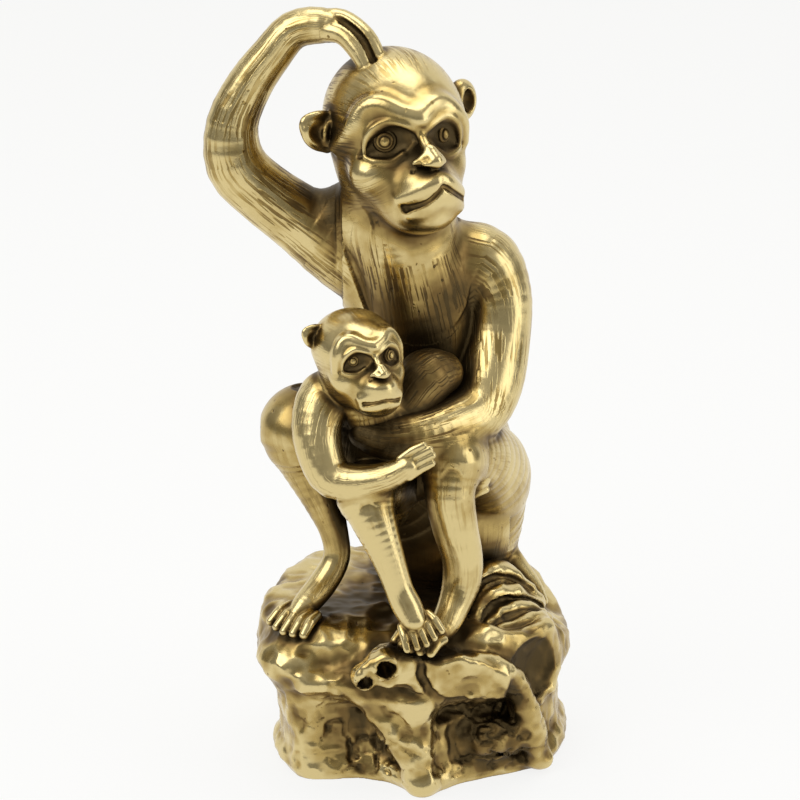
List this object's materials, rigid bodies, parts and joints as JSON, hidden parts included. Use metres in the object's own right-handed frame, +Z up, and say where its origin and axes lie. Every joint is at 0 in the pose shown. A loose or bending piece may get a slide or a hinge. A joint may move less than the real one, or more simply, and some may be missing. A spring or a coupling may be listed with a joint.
{
  "type": "animal figurine",
  "caption": "Cast brass ornament of an adult monkey squatting on a craggy hollow rock, one hand to its head, with a young monkey clinging in its lap.",
  "frame": {"origin": "centre of the rock base's footprint, on the surface that the figurine stands on", "axes": "+Z up through the figurine, +Y away from the viewer the adult faces, +X to that viewer's right"},
  "size_m": [0.0832, 0.0772, 0.1695],
  "materials": {
    "rock_brass": "antique cast brass, darkened in the hollows",
    "adult_brass": "antique cast brass, rubbed bright on the high spots",
    "young_brass": "antique cast brass, rubbed bright on the high spots"
  },
  "bodies": {
    "root": {"rock_base": "rock_brass", "rock_slab": "rock_brass", "rock_lobe": "rock_brass", "rock_coil": "rock_brass", "adult_trunk": "adult_brass", "adult_head": "adult_brass", "adult_right_ear": "adult_brass", "adult_left_ear": "adult_brass", "adult_right_upper_arm": "adult_brass", "adult_right_forearm": "adult_brass", "adult_right_hand": "adult_brass", "adult_left_upper_arm": "adult_brass", "adult_left_forearm": "adult_brass", "adult_right_thigh": "adult_brass", "adult_right_shin": "adult_brass", "adult_right_foot": "adult_brass", "adult_left_thigh": "adult_brass", "adult_left_shin": "adult_brass", "adult_left_foot": "adult_brass", "adult_tail": "adult_brass", "young_trunk": "young_brass", "young_head": "young_brass", "young_right_ear": "young_brass", "young_right_upper_arm": "young_brass", "young_right_forearm": "young_brass", "young_left_arm": "young_brass", "young_right_thigh": "young_brass", "young_right_shin": "young_brass", "young_right_foot": "young_brass", "young_left_leg": "young_brass"}
  },
  "joints": []
}
